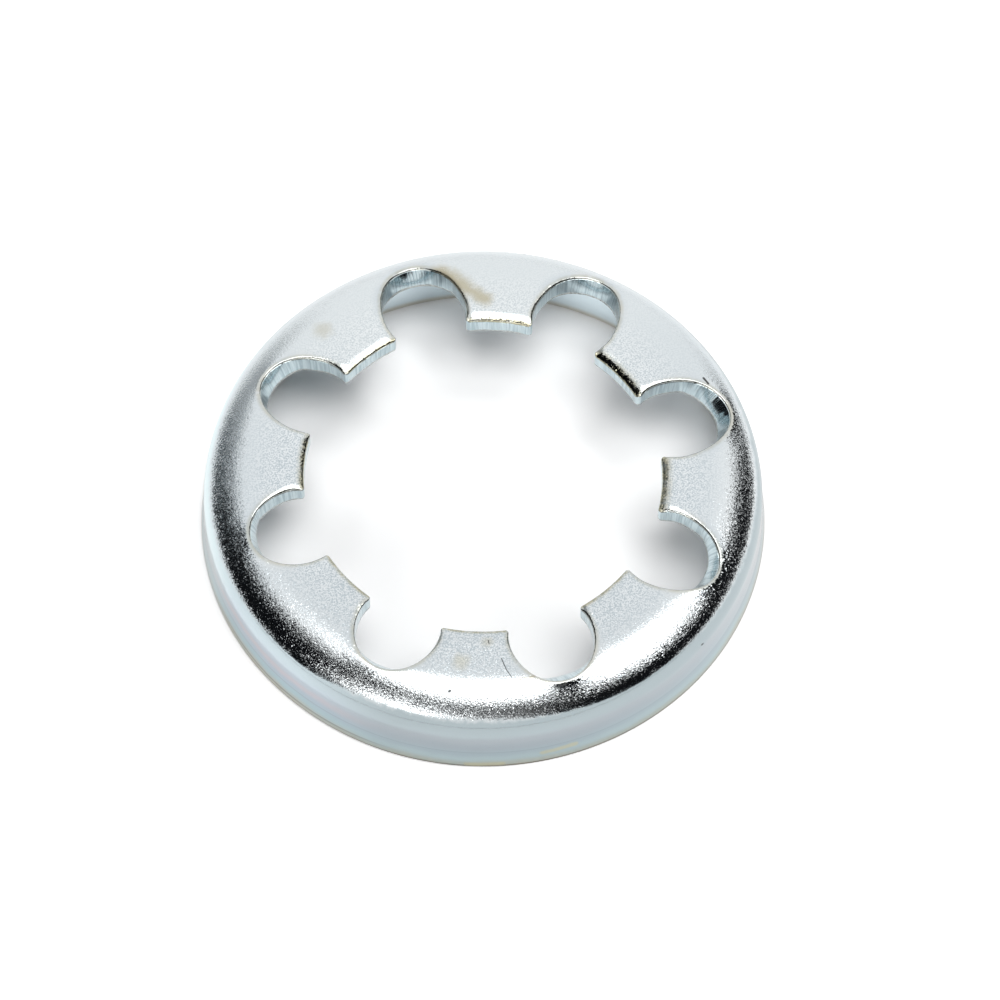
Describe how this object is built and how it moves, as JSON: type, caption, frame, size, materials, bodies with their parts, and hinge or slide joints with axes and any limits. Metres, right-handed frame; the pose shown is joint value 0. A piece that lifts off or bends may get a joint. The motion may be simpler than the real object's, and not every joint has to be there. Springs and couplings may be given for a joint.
{
  "type": "toothed lock washer",
  "caption": "A shallow pressed steel cup with a toothed central hole, whose teeth grip a shaft and hold what is on it in place.",
  "frame": {"origin": "centre of the rim, on the floor that the washer stands on", "axes": "+Z along the washer's axis, from the rim towards the teeth; +X along the middle of one tooth"},
  "size_m": [0.038, 0.038, 0.0061],
  "materials": {
    "zinc_plate": "bright zinc plate, pale blue-grey, finely grained on top and smooth on the skirt"
  },
  "bodies": {
    "root": {"lock_washer": "zinc_plate"}
  },
  "joints": []
}
